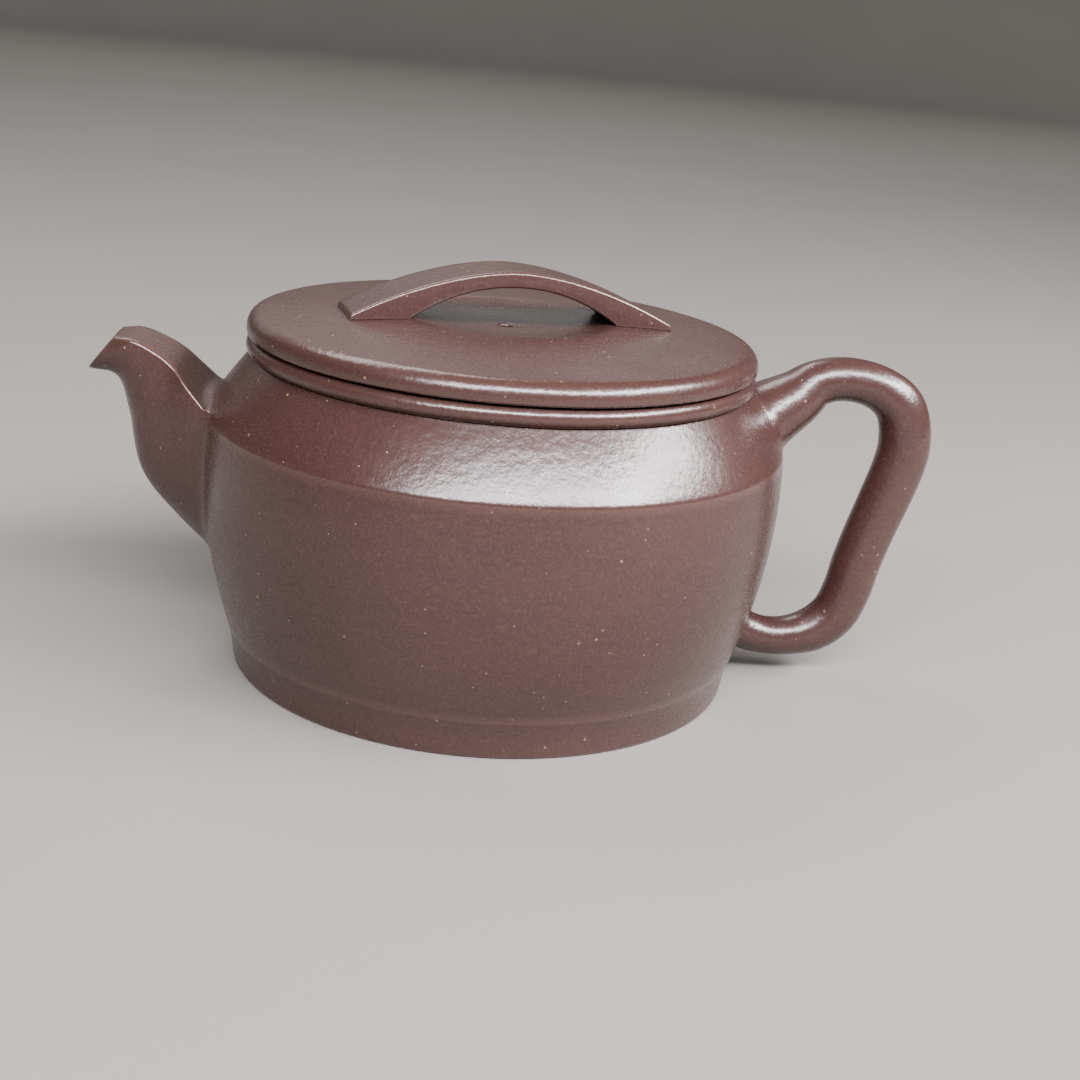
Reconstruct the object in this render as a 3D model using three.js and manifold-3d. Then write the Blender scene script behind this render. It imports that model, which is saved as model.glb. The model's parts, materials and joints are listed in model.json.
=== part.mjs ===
// A slab-built, unglazed clay teapot with a flat overlapping lid and a bridge knob.
//
// Millimetres, +Z up. The origin is the centre of the flat underside, on the pot's axis.
// The spout points towards -X and the handle towards +X.
// Pieces made by turning are given as (radius, height) outlines, listed anticlockwise.

import * as THREE from 'three';
import { mergeVertices } from 'three/addons/utils/BufferGeometryUtils.js';
import Module from 'manifold-3d';

const wasm = await Module();
wasm.setup();

// ---------------------------------------------------------------- driving sizes

const gap = 0.3; // left between pieces that are luted, cut to, or rest on each other
const wall = 3.0; // thickness of the rolled clay slab

// Body
const shoulderRadius = 49.65; // at the crease between wall and shoulder
const shoulderHeight = 43.6; // height of that crease
const footInset = 5.15; // how much narrower the wall is where it leaves the foot
const footHeight = 4.6;
const footTaper = 0.5; // how much the foot narrows down to the table
const footEdge = 0.6; // rounding of the foot's lower edge
const belly = 2.2; // how far the wall bows out between foot and crease
const baseThickness = 3.4;

// Shoulder and mouth
const shoulderRise = 9.9; // height of the shoulder above the crease
const neckInset = 7.1; // how much narrower the neck is than the crease
const shoulderBow = 0.3; // slight swell of the shoulder
const mouthLand = 6.05; // width of the flat top between neck and mouth
const beadHeight = 3.15; // the rounded ring that the lid rests on
const beadTuck = 0.6; // how far the ring is tucked in from the neck

// Lid
const lidOverhang = 0.95; // lid rim beyond the neck
const lidThickness = 3.65; // at the rim
const lidCrown = 1.8; // rise of the lid's top from rim to centre
const lidFillet = 2.5; // upper edge of the rim
const lidLowerEdge = 0.5; // lower edge of the rim
const lidVault = 1.5; // hollow under the lid, inside the collar
const dishRadius = 17.6;
const dishDepth = 1.6;
const dishLip = 0.6; // half the width of the soft edge round the dish
const airHoleRadius = 1.35;
const collarDepth = 8.0;
const collarWall = 3.0;
const collarPlay = 0.5; // between collar and mouth, all round
const collarChamfer = 0.7; // at the collar's lower outer edge
const lidTurn = 12.5; // degrees that the lid is turned from the spout-handle line

// Bridge knob
const bridgeHalfLength = 28.0;
const bridgeWidth = 12.0;
const bridgeRise = 8.1; // top of the arch above the top of the lid
const bridgeThickness = 2.7; // at the middle of the arch
const bridgeEdge = 0.9; // height of the end edge of each foot
const archInset = 0.4; // from the edge of the dish to the foot of the arch

// Strainer
const strainerRadius = 8.0;
const strainerDrop = 11.5; // its centre below the crease
const strainerWall = 1.4;
const strainerHoleRadius = 1.0;
const strainerSleeve = 2.4; // straight part of the thimble, before its dome
const strainerSetBack = 1.2; // its open end, in from the wall's outside
const strainerRings = [[1, 0], [6, 0.42], [11, 0.8]]; // holes in a ring, and its tilt in radians

// Spout. The ridge is one of the two sharp edges beside the flat top, the keel is the
// line underneath. Each point is [beyond the crease radius, above the crease], and a
// ridge point adds its distance from the middle plane.
const spoutRidge = [
  [-8, -6, 15.0], [1.6, 3.6, 10.6], [5.2, 7.4, 8.0], [8.8, 9.6, 6.8], [12.1, 10.8, 6.0], [15.0, 10.8, 4.7],
];
const spoutKeel = [[-8, -32], [4.1, -21.2], [11.0, -12.9], [13.3, -2.4], [15.3, 3.3], [20.0, 4.3]];
const spoutWallAtRoot = 2.6;
const spoutWallAtLip = 1.3;
const spoutTopShare = 1 / 3; // share of the way round each side, from top to keel, that is flat top
const channelPast = 2.5; // how far the channel is run on past the lip, so that it cuts right through

// Handle. Each point is [beyond the crease radius, share of the crease height, half thickness].
const handleLine = [
  [-6.5, 1.04, 7.0], [1.6, 1.17, 5.1], [5.8, 1.248, 4.1], [11.0, 1.272, 3.85], [16.8, 1.245, 3.95],
  [21.1, 1.17, 4.4], [22.8, 1.04, 4.6], [22.2, 0.9, 4.6], [19.0, 0.64, 4.45], [17.5, 0.5, 4.4],
  [16.6, 0.385, 4.35], [14.8, 0.272, 4.3], [11.2, 0.195, 4.1], [6.3, 0.16, 3.6], [1.4, 0.16, 3.45],
  [-3.0, 0.19, 3.7], [-8.0, 0.24, 4.2],
];
const handleRootSpread = 1.25; // the handle's width over its thickness where it meets the body
const handleRootShare = 1 / 8; // share of the handle's length over which each end widens

// Fineness of the facets
const turnSegments = 60;
const spoutSegments = 24;
const handleSegments = 14;
const spoutSteps = 22;
const handleSteps = 44;

// ---------------------------------------------------------------- sizes worked out

const footTopRadius = shoulderRadius - footInset;
const footRadius = footTopRadius - footTaper;
const footInner = footTopRadius - wall;
const neckRadius = shoulderRadius - neckInset;
const neckHeight = shoulderHeight + shoulderRise;
const mouthRadius = neckRadius - mouthLand;
const beadTop = neckHeight + beadHeight;
const lidBottom = beadTop + gap;
const lidRadius = neckRadius + lidOverhang;
const lidRimTop = lidBottom + lidThickness;
const crownRadius = lidRadius - lidFillet;
const collarRadius = mouthRadius - collarPlay;
const collarInner = collarRadius - collarWall;
const lidTop = lidRimTop + lidCrown;
const archHalfSpan = dishRadius + archInset;
const strainerHeight = shoulderHeight - strainerDrop;
const strainerHole = strainerRadius + gap;

// Radius of the wall's outside at a height between the foot and the crease.
function wallRadius(height) {
  const t = (height - footHeight) / (shoulderHeight - footHeight);
  return THREE.MathUtils.lerp(footTopRadius, shoulderRadius, t) + 4 * belly * t * (1 - t);
}

// Radius of the shoulder's outside at a height between the crease and the neck.
function shoulderRadiusAt(height) {
  const t = (height - shoulderHeight) / shoulderRise;
  return THREE.MathUtils.lerp(shoulderRadius, neckRadius, t) + 4 * shoulderBow * t * (1 - t);
}

// Height of the lid's crowned top at a radius.
function crownHeight(radius) {
  return lidRimTop + lidCrown * (1 - (radius / crownRadius) ** 2);
}

// ---------------------------------------------------------------- outline helpers

// Points from one value to another, each made by at(value).
function steps(from, to, count, at) {
  return Array.from({ length: count + 1 }, (_, i) => at(THREE.MathUtils.lerp(from, to, i / count)));
}

// An arc about (radius, height), between two angles in degrees from the outward direction.
function arc(radius, height, size, from, to, count) {
  return steps(from, to, count, (degrees) => {
    const angle = THREE.MathUtils.degToRad(degrees);
    return [radius + size * Math.cos(angle), height + size * Math.sin(angle)];
  });
}

// Turns an outline about the Z axis.
function turned(outline, segments = turnSegments) {
  const points = outline.map(([radius, height]) => new THREE.Vector2(radius, height));
  return new THREE.LatheGeometry(points, segments).rotateX(Math.PI / 2);
}

// Turns an outline that closes on itself, so its first point is repeated at its end.
function turnedRing(outline, segments) {
  return turned([...outline, outline[0]], segments);
}

// Reshapes a unit cylinder: skin(s, angle) is its point at a share s of the length and an
// angle round it, and angles 0 and 180 degrees lie opposite each other across the section.
function lofted(skin, segments, lengths) {
  const geometry = new THREE.CylinderGeometry(1, 1, 1, segments, lengths);
  const position = geometry.attributes.position;
  for (let i = 0; i < position.count; i += 1) {
    const x = position.getX(i);
    const z = position.getZ(i);
    const s = position.getY(i) + 0.5;
    const isCapCentre = Math.hypot(x, z) < 0.5;
    const point = isCapCentre ? skin(s, 0).lerp(skin(s, Math.PI), 0.5) : skin(s, Math.atan2(x, z));
    position.setXYZ(i, ...point);
  }
  return geometry;
}

// ---------------------------------------------------------------- booleans

function solidOf(geometry) {
  const bare = geometry.clone();
  bare.deleteAttribute('normal');
  bare.deleteAttribute('uv');
  const merged = mergeVertices(bare, 1e-5);
  const vertProperties = new Float32Array(merged.attributes.position.array);
  const triVerts = new Uint32Array(merged.index.array);
  return new wasm.Manifold(new wasm.Mesh({ numProp: 3, vertProperties, triVerts }));
}

function geometryOf(solid) {
  const mesh = solid.getMesh();
  const geometry = new THREE.BufferGeometry();
  geometry.setAttribute('position', new THREE.BufferAttribute(mesh.vertProperties, mesh.numProp));
  geometry.setIndex(new THREE.BufferAttribute(mesh.triVerts, 1));
  geometry.computeVertexNormals();
  return geometry;
}

// Takes the tools away from a piece, all given as geometries.
function cut(geometry, ...tools) {
  return geometryOf(tools.reduce((solid, tool) => solid.subtract(solidOf(tool)), solidOf(geometry)));
}

// The body's whole outside as one filled shape, grown by the gap, for cutting what meets it.
function bodyFilled() {
  return turned([
    [0, -gap],
    [footRadius + gap, -gap],
    [footTopRadius + gap, footHeight],
    ...steps(footHeight + 3, shoulderHeight, 8, (height) => [wallRadius(height) + gap, height]),
    ...steps(shoulderHeight + 2, neckHeight, 3, (height) => [shoulderRadiusAt(height) + gap, height]),
    [neckRadius + gap, beadTop],
    [0, beadTop],
  ]);
}

// ---------------------------------------------------------------- body pieces

function baseDisc() {
  const radius = footInner - gap;
  return turned([[0, 0], [radius, 0], [radius, baseThickness], [0, baseThickness]]);
}

function footBand() {
  return turnedRing([
    [footInner, 0],
    ...arc(footRadius - footEdge, footEdge, footEdge, -90, 0, 3),
    [footRadius, footHeight / 2],
    [footTopRadius, footHeight],
    [footInner, footHeight],
  ]);
}

function bodyWall() {
  const outside = steps(footHeight, shoulderHeight, 9, (height) => [wallRadius(height), height]);
  const inside = steps(shoulderHeight, footHeight, 6, (height) => [wallRadius(height) - wall, height]);
  const drill = new THREE.CylinderGeometry(strainerHole, strainerHole, 4 * wall, spoutSegments);
  drill.rotateZ(Math.PI / 2).translate(wall / 2 - wallRadius(strainerHeight), 0, strainerHeight);
  return cut(turnedRing([...outside, ...inside]), drill);
}

function shoulderDisc() {
  const outside = steps(shoulderHeight, neckHeight, 4, (height) => [shoulderRadiusAt(height), height]);
  return turnedRing([
    ...outside,
    [mouthRadius, neckHeight],
    [mouthRadius, neckHeight - wall],
    [neckRadius - wall / 2, neckHeight - wall],
    [shoulderRadius - wall, shoulderHeight],
  ]);
}

function mouthRing() {
  const size = beadHeight / 2;
  const centre = neckRadius - beadTuck;
  return turnedRing([
    [mouthRadius, neckHeight],
    ...arc(centre, neckHeight + size, size, -90, 90, 8),
    [mouthRadius, beadTop],
  ]);
}

// ---------------------------------------------------------------- spout and strainer

function spoutCurves() {
  const place = ([beyond, above, aside = 0]) => (
    new THREE.Vector3(-shoulderRadius - beyond, aside, shoulderHeight + above));
  return {
    ridge: new THREE.CatmullRomCurve3(spoutRidge.map(place)),
    keel: new THREE.CatmullRomCurve3(spoutKeel.map(place)),
  };
}

// A spout section runs flat between the ridges and round under the keel. It is drawn in
// by inset(s) on every side, and its last section is moved on along the spout by past.
function spoutSkin(inset, past) {
  const { ridge, keel } = spoutCurves();
  const ridgeAngle = Math.PI * spoutTopShare;
  const at = (curve, s) => curve.getPoint(s).addScaledVector(curve.getTangent(1), s === 1 ? past : 0);
  return (s, angle) => {
    const edge = at(ridge, s);
    const under = at(keel, s);
    const top = new THREE.Vector3(edge.x, 0, edge.z);
    under.y = 0;
    const down = under.clone().sub(top);
    const depth = down.length();
    down.normalize();
    const thickness = inset(s);
    const half = edge.y - thickness;
    const turn = Math.abs(angle);
    const side = Math.sign(angle);
    if (turn <= ridgeAngle) {
      return top.addScaledVector(down, thickness).setY(side * half * (turn / ridgeAngle));
    }
    const around = ((turn - ridgeAngle) / (Math.PI - ridgeAngle)) * (Math.PI / 2);
    const drop = thickness + (depth - 2 * thickness) * Math.sin(around);
    return top.addScaledVector(down, drop).setY(side * half * Math.cos(around));
  };
}

function spoutShell() {
  const wallAt = (s) => THREE.MathUtils.lerp(spoutWallAtRoot, spoutWallAtLip, s);
  const outside = lofted(spoutSkin(() => 0, 0), spoutSegments, spoutSteps);
  const channel = lofted(spoutSkin(wallAt, channelPast), spoutSegments, spoutSteps);
  return cut(outside, channel, bodyFilled());
}

// A thimble set in the wall's hole, with a pierced dome towards the inside of the pot.
function spoutStrainer() {
  const outer = strainerRadius;
  const inner = strainerRadius - strainerWall;
  const thimble = turnedRing([
    [outer, 0],
    ...arc(0, strainerSleeve, outer, 0, 90, 6),
    ...arc(0, strainerSleeve, inner, 90, 0, 5),
    [inner, 0],
  ], spoutSegments);
  const holes = strainerRings.flatMap(([count, tilt]) => Array.from({ length: count }, (_, i) => {
    const hole = new THREE.CylinderGeometry(strainerHoleRadius, strainerHoleRadius, 4 * strainerWall, 6);
    hole.rotateX(Math.PI / 2).translate(0, 0, outer - strainerWall / 2);
    return hole.rotateY(tilt).rotateZ((i / count) * 2 * Math.PI).translate(0, 0, strainerSleeve);
  }));
  const openEnd = strainerSetBack - wallRadius(strainerHeight);
  return cut(thimble, ...holes).rotateY(Math.PI / 2).translate(openEnd, 0, strainerHeight);
}

// ---------------------------------------------------------------- handle

function handleSolid() {
  const line = new THREE.CatmullRomCurve3(handleLine.map(([beyond, share]) => (
    new THREE.Vector3(shoulderRadius + beyond, 0, shoulderHeight * share))));
  const thickness = new THREE.CatmullRomCurve3(handleLine.map(([, , half]) => (
    new THREE.Vector3(half, 0, 0))));
  const middle = new THREE.Vector3(0, 1, 0);
  const skin = (s, angle) => {
    const across = middle.clone().cross(line.getTangent(s)).normalize();
    const half = thickness.getPoint(s).x;
    const nearRoot = Math.max(0, 1 - Math.min(s, 1 - s) / handleRootShare);
    const width = half * THREE.MathUtils.lerp(1, handleRootSpread, nearRoot);
    const point = line.getPoint(s).addScaledVector(across, half * Math.cos(angle));
    return point.setY(width * Math.sin(angle));
  };
  return cut(lofted(skin, handleSegments, handleSteps), bodyFilled());
}

// ---------------------------------------------------------------- lid pieces

function lidPlate() {
  const lip = crownHeight(dishRadius);
  const dish = (radius) => [radius, lip - dishDepth * (1 - (radius / dishRadius) ** 3)];
  return turnedRing([
    [airHoleRadius, lidBottom + lidVault],
    [collarInner - lidVault, lidBottom + lidVault],
    [collarInner, lidBottom],
    ...arc(lidRadius - lidLowerEdge, lidBottom + lidLowerEdge, lidLowerEdge, -90, 0, 2),
    ...arc(crownRadius, lidRimTop - lidFillet, lidFillet, 0, 80, 4),
    ...steps(crownRadius - lidFillet / 2, dishRadius + dishLip, 5, (radius) => [radius, crownHeight(radius)]),
    ...steps(dishRadius - dishLip, airHoleRadius, 6, dish),
  ]);
}

function lidCollar() {
  const top = lidBottom - gap;
  const bottom = top - collarDepth;
  return turnedRing([
    [collarInner, bottom],
    [collarRadius - collarChamfer, bottom],
    [collarRadius, bottom + collarChamfer],
    [collarRadius, top],
    [collarInner, top],
  ]);
}

function lidBridge() {
  const apex = lidTop + bridgeRise;
  const drop = apex - crownHeight(bridgeHalfLength) - bridgeEdge;
  const archTop = apex - bridgeThickness;
  const archDrop = archTop - crownHeight(archHalfSpan);
  const under = crownHeight(lidRadius) - lidThickness / 2;
  // Half of each curve, from the middle out: [share of the half length, share of the drop].
  const overHalf = [[0.25, 0.09], [0.5, 0.28], [0.75, 0.6], [1, 1]];
  const belowHalf = [[0.25, 0.05], [0.55, 0.27], [0.82, 0.68], [1, 1]];
  // The rest of a curve that starts at its end on the side given.
  const rest = (half, side, length, top, fall) => [
    ...half.slice(0, -1).reverse().map(([along, down]) => [side * along, down]),
    [0, 0],
    ...half.map(([along, down]) => [-side * along, down]),
  ].map(([along, down]) => new THREE.Vector2(along * length, top - down * fall));
  const outline = new THREE.Shape();
  outline.moveTo(-bridgeHalfLength, under);
  outline.lineTo(-bridgeHalfLength, apex - drop);
  outline.splineThru(rest(overHalf, -1, bridgeHalfLength, apex, drop));
  outline.lineTo(bridgeHalfLength, under);
  outline.lineTo(archHalfSpan, under);
  outline.lineTo(archHalfSpan, archTop - archDrop);
  outline.splineThru(rest(belowHalf, 1, archHalfSpan, archTop, archDrop));
  outline.lineTo(-archHalfSpan, under);
  outline.closePath();
  const settings = { depth: bridgeWidth, bevelEnabled: false, curveSegments: 2 };
  const arch = new THREE.ExtrudeGeometry(outline, settings);
  arch.rotateX(Math.PI / 2).translate(0, bridgeWidth / 2, 0);
  arch.rotateZ(THREE.MathUtils.degToRad(lidTurn));
  const lidFilled = turned([
    [0, lidBottom],
    [lidRadius, lidBottom],
    ...steps(lidRadius, 0, 8, (radius) => [radius, crownHeight(radius) + gap]),
  ]);
  return cut(arch, lidFilled);
}

// ---------------------------------------------------------------- the teapot

function clay(name, geometry, color, roughness) {
  const material = new THREE.MeshStandardMaterial({ color, roughness, metalness: 0 });
  const mesh = new THREE.Mesh(geometry, material);
  mesh.name = name;
  return mesh;
}

const teapot = new THREE.Group();
teapot.add(
  clay('base_disc', baseDisc(), 0x6a4c46, 0.6),
  clay('foot_band', footBand(), 0x755650, 0.55),
  clay('body_wall', bodyWall(), 0x6b4b45, 0.5),
  clay('shoulder_disc', shoulderDisc(), 0x7a5c58, 0.42),
  clay('mouth_ring', mouthRing(), 0x74564f, 0.42),
  clay('spout', spoutShell(), 0x6e4e49, 0.45),
  clay('spout_strainer', spoutStrainer(), 0x6a4c46, 0.6),
  clay('handle', handleSolid(), 0x6f504b, 0.42),
  clay('lid_collar', lidCollar(), 0x6a4c46, 0.6),
  clay('lid_plate', lidPlate(), 0x735550, 0.5),
  clay('lid_bridge', lidBridge(), 0x73554f, 0.45),
);

export default teapot;
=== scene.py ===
"""A hand-built clay teapot: foot, wall, shoulder and mouth ring, a pouring spout with its
strainer, an ear-shaped handle, and a flat lid with a collar underneath and a bridge on top.

Metres, Z up, in the frame of the model: the spout points to -X and the handle to +X.
"""

import json
import math

import bmesh
import bpy
from mathutils import Matrix, Vector, noise

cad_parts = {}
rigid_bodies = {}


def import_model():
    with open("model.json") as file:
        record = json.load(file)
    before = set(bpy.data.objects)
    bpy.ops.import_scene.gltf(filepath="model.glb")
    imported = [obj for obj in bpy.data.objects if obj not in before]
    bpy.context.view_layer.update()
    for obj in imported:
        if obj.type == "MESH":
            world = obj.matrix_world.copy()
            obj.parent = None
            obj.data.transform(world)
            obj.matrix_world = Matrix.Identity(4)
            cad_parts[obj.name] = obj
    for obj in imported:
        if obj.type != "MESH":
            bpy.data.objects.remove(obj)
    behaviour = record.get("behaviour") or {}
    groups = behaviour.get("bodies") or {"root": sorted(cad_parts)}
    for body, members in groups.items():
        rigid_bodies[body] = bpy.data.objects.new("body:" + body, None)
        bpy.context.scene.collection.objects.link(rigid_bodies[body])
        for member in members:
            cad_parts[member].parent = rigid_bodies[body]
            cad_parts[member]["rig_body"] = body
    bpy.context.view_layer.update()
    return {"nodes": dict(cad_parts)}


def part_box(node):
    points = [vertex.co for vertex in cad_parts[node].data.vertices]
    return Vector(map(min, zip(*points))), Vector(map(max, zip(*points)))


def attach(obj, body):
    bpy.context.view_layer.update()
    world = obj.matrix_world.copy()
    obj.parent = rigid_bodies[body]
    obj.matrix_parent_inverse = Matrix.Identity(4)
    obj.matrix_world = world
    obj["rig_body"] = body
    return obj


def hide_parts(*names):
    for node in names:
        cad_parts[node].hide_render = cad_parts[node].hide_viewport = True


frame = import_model()

MM = 0.001


# ---------------------------------------------------------------- sizes read from the frame

def lowest(node):
    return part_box(node)[0].z


def highest(node):
    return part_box(node)[1].z


def reach(node):
    """How far a turned node goes out from the axis."""
    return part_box(node)[1].x


FOOT_TOP_RADIUS = reach("foot_band")
FOOT_HEIGHT = highest("foot_band")
BASE_RADIUS = reach("base_disc")
BASE_THICKNESS = highest("base_disc")
CREASE_RADIUS = reach("shoulder_disc")
CREASE_HEIGHT = lowest("shoulder_disc")
NECK_HEIGHT = highest("shoulder_disc")
BEAD_RADIUS = reach("mouth_ring")
BEAD_TOP = highest("mouth_ring")
LID_RADIUS = reach("lid_plate")
LID_BOTTOM = lowest("lid_plate")
COLLAR_RADIUS = reach("lid_collar")
COLLAR_BOTTOM = lowest("lid_collar")
COLLAR_TOP = highest("lid_collar")
BRIDGE_TOP = highest("lid_bridge")
STRAINER_HEIGHT = (lowest("spout_strainer") + highest("spout_strainer")) / 2
STRAINER_RADIUS = (highest("spout_strainer") - lowest("spout_strainer")) / 2
STRAINER_OPEN_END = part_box("spout_strainer")[0].x

# ---------------------------------------------------------------- sizes set by the maker

WALL = 3.0 * MM
BELLY = 2.2 * MM
FOOT_TAPER = 0.5 * MM
FOOT_EDGE = 0.6 * MM
FOOT_BLEND = 2.2 * MM
NECK_INSET = 7.1 * MM
SHOULDER_BOW = 0.3 * MM
CREASE_EASE = 0.35 * MM
MOUTH_LAND = 6.05 * MM

LID_EDGE = 3.65 * MM
LID_CROWN = 1.8 * MM
LID_FILLET = 2.5 * MM
LID_LOWER_EDGE = 0.6 * MM
LID_VAULT = 1.5 * MM
LID_TURN = math.radians(12.5)
DISH_RADIUS = 17.6 * MM
DISH_DEPTH = 1.6 * MM
DISH_LIP = 0.7 * MM
AIR_HOLE = 1.35 * MM
COLLAR_WALL = 3.0 * MM
SMALL_EDGE = 0.5 * MM

BRIDGE_HALF_LENGTH = 28.0 * MM
BRIDGE_WIDTH = 12.0 * MM
BRIDGE_THICKNESS = 2.7 * MM
BRIDGE_EDGE = 0.9 * MM
BRIDGE_ROUNDING = 0.55 * MM
BRIDGE_TIP = 0.5 * MM
BRIDGE_SEATED = 0.15 * MM  # how far its feet go into the lid
BRIDGE_FALL = 1.78  # the higher, the flatter its middle and the steeper its ends
ARCH_HALF_SPAN = 18.0 * MM
ARCH_FALL = 2.12

STRAINER_WALL = 1.4 * MM
STRAINER_HOLE = 1.0 * MM
STRAINER_SLEEVE = 2.4 * MM
STRAINER_RINGS = ((1, 0.0), (6, 0.42), (11, 0.8))  # holes in a ring, and its tilt in radians
STRAINER_SEGMENTS = 72

# Spout: [beyond the crease, above the crease], and for the ridge its distance from the middle.
SPOUT_RIDGE = (
    (-8, -6, 15.0), (1.6, 3.6, 10.6), (5.2, 7.4, 8.0), (8.8, 9.6, 6.8), (12.1, 10.8, 6.0), (15.0, 10.8, 4.7),
)
SPOUT_KEEL = (
    (-8, -32, 0), (4.1, -21.2, 0), (11.0, -12.9, 0), (13.3, -2.4, 0), (15.3, 3.3, 0), (20.0, 4.3, 0),
)
SPOUT_ROOT = 0.12  # share of the way from its hidden end to the lip at which it leaves the body
SPOUT_FREE_FROM = 0.5
SPOUT_ROWS = 44
CHANNEL_ROWS = 40
SPOUT_RIDGE_ROUNDING = 0.6 * MM
SPOUT_WALL_AT_ROOT = 2.6 * MM
SPOUT_WALL_AT_LIP = 1.3 * MM
SPOUT_FILLET = 2.4 * MM

# Handle: [beyond the crease, share of the crease height, half thickness].
HANDLE_LINE = (
    (-6.5, 1.04, 7.0), (1.6, 1.17, 5.1), (5.8, 1.248, 4.1), (11.0, 1.272, 3.85), (16.8, 1.245, 3.95),
    (21.1, 1.17, 4.4), (22.8, 1.04, 4.6), (22.2, 0.9, 4.6), (19.0, 0.64, 4.45), (17.5, 0.5, 4.4),
    (16.6, 0.385, 4.35), (14.8, 0.272, 4.3), (11.2, 0.195, 4.1), (6.3, 0.16, 3.6), (1.4, 0.16, 3.45),
    (-3.0, 0.19, 3.7), (-8.0, 0.24, 4.2),
)
HANDLE_ROOT_SPREAD = 1.25
HANDLE_ROOT_SHARE = 1 / 8
HANDLE_FILLET = 2.2 * MM
HANDLE_FREE_FROM = 0.3  # share of the way along from which it is clear of the body
HANDLE_SEGMENTS = 56
HANDLE_ROWS = 130

TUCK = 0.3 * MM
SEAM = 0.001 * MM
SHARP_EDGE = math.radians(38)
TURN_SEGMENTS = 192
UNEVENNESS = 0.06 * MM
UNEVENNESS_SIZE = 22 * MM
UNEVENNESS_SEED = 7

NECK_RADIUS = CREASE_RADIUS - NECK_INSET
MOUTH_RADIUS = NECK_RADIUS - MOUTH_LAND
LID_RIM_TOP = LID_BOTTOM + LID_EDGE
CROWN_RADIUS = LID_RADIUS - LID_FILLET
COLLAR_INNER = COLLAR_RADIUS - COLLAR_WALL


# ---------------------------------------------------------------- small helpers

def mix(a, b, t):
    return a + (b - a) * t


def steps(start, end, count, at=lambda value: value):
    """count + 1 results of at(value), from start to end."""
    return [at(mix(start, end, i / count)) for i in range(count + 1)]


def arc(radius, height, size, start, end, count):
    """An arc in an outline, between two angles in degrees from the outward direction."""
    return steps(math.radians(start), math.radians(end), count, lambda angle: (
        radius + size * math.cos(angle), height + size * math.sin(angle)))


def bend(a, b, c, count):
    """A curve from a to c that sets out towards b and arrives from it."""
    a, b, c = Vector(a), Vector(b), Vector(c)
    return [a * (1 - t) ** 2 + b * 2 * t * (1 - t) + c * t ** 2 for t in steps(0, 1, count)]


def smooth_line(points):
    """A curve through the points, as a function of the share of the way along them."""
    points = [Vector(p) for p in points]
    points = [points[0] * 2 - points[1], *points, points[-1] * 2 - points[-2]]
    last = len(points) - 4

    def at(share):
        place = min(max(share, 0.0), 1.0) * (last + 1)
        i = min(int(place), last)
        t = place - i
        a, b, c, d = points[i:i + 4]
        return (b * 2 + (c - a) * t + (a * 2 - b * 5 + c * 4 - d) * t ** 2
                + (b * 3 - a - c * 3 + d) * t ** 3) / 2
    return at


def first_true(test, low, high):
    """The value between low and high where test turns from false to true."""
    for _ in range(40):
        middle = (low + high) / 2
        if test(middle):
            high = middle
        else:
            low = middle
    return high


# ---------------------------------------------------------------- shapes the pieces share

def wall_radius(height):
    t = (height - FOOT_HEIGHT) / (CREASE_HEIGHT - FOOT_HEIGHT)
    return mix(FOOT_TOP_RADIUS, CREASE_RADIUS, t) + 4 * BELLY * t * (1 - t)


def shoulder_radius(height):
    t = (height - CREASE_HEIGHT) / (NECK_HEIGHT - CREASE_HEIGHT)
    return mix(CREASE_RADIUS, NECK_RADIUS, t) + 4 * SHOULDER_BOW * t * (1 - t)


def body_radius(height):
    """Radius of the body's outside at any height."""
    if height < FOOT_HEIGHT:
        return FOOT_TOP_RADIUS
    if height < CREASE_HEIGHT:
        return wall_radius(height)
    return shoulder_radius(min(height, NECK_HEIGHT))


def crown_height(radius):
    return LID_RIM_TOP + LID_CROWN * (1 - (radius / CROWN_RADIUS) ** 2)


def lid_surface(radius):
    """Height of the lid's top at a radius, with the dish in its middle."""
    if radius > DISH_RADIUS:
        return crown_height(radius)
    return crown_height(DISH_RADIUS) - DISH_DEPTH * (1 - (radius / DISH_RADIUS) ** 3)


# ---------------------------------------------------------------- node trees

class Nodes:
    """Adds nodes to a tree; an input is given as a value or as the socket it comes from."""

    def __init__(self, tree):
        self.tree = tree

    def add(self, kind, inputs=None, **settings):
        node = self.tree.nodes.new(kind)
        node.location = (220 * (len(self.tree.nodes) % 12), -220 * (len(self.tree.nodes) // 12))
        for key, value in settings.items():
            setattr(node, key, value)
        for key, value in (inputs or {}).items():
            if isinstance(value, bpy.types.NodeSocket):
                self.tree.links.new(value, node.inputs[key])
            else:
                node.inputs[key].default_value = value
        return node

    def math(self, operation, *values, clamp=False):
        kind = "ShaderNodeMath"
        node = self.add(kind, dict(enumerate(values)), operation=operation, use_clamp=clamp)
        return node.outputs[0]

    def spread(self, value, low, high, to_low=0.0, to_high=1.0):
        """Maps low..high to to_low..to_high, smoothly and no further."""
        inputs = {"Value": value, 1: low, 2: high, 3: to_low, 4: to_high}
        return self.add("ShaderNodeMapRange", inputs, interpolation_type="SMOOTHSTEP").outputs[0]

    def blend(self, share, a, b, way="MIX"):
        inputs = {0: share, 6: a, 7: b}
        node = self.add("ShaderNodeMix", inputs, data_type="RGBA", blend_type=way)
        return node.outputs[2]


# ---------------------------------------------------------------- materials

def rgb(red, green, blue):
    return (red, green, blue, 1.0)


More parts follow.
